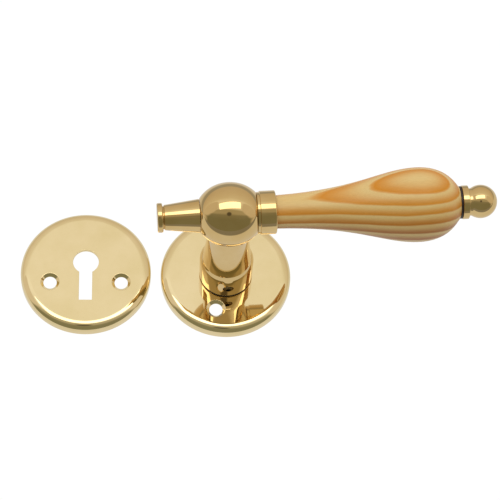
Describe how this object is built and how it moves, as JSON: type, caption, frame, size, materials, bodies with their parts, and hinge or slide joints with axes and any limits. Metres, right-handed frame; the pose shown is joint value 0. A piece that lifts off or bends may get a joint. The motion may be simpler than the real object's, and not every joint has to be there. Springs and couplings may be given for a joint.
{
  "type": "door lever handle and keyhole escutcheon set",
  "caption": "Polished brass door lever with a turned wooden grip on a round screw-on rose, with a matching round keyhole escutcheon beside it.",
  "frame": {"origin": "on the neck's axis at the door face, which is the plane of both plates' backs", "axes": "+Z out of the door along the neck, +X along the lever towards its grip, +Y up the door, towards the keyhole's round end"},
  "size_m": [0.1776, 0.0543, 0.0672],
  "materials": {
    "plate_brass": "pressed sheet, polished and clear lacquered",
    "turned_brass": "turned, mirror polished and clear lacquered",
    "lacquered_pine": "turned pine with orange growth rings under gloss lacquer",
    "dark_nylon": "black moulded nylon",
    "pale_nylon": "natural moulded nylon",
    "steel": "zinc plated steel"
  },
  "bodies": {
    "root": {"rose_plate": "plate_brass", "guide_bush": "pale_nylon", "friction_washer": "dark_nylon", "escutcheon_plate": "plate_brass"},
    "lever": {"lever_neck": "turned_brass", "ball_hub": "turned_brass", "tail_cone": "turned_brass", "ferrule": "turned_brass", "grip": "lacquered_pine", "end_washer": "dark_nylon", "end_finial": "turned_brass", "tie_rod": "steel", "grub_screw": "steel", "circlip": "steel", "wave_washer": "steel"}
  },
  "joints": [
    {"name": "lever_turn", "type": "hinge", "parent": "root", "child": "lever", "pos_m": [0, 0, 0], "axis": [0, 0, 1], "range_deg": [-45, 45]}
  ]
}
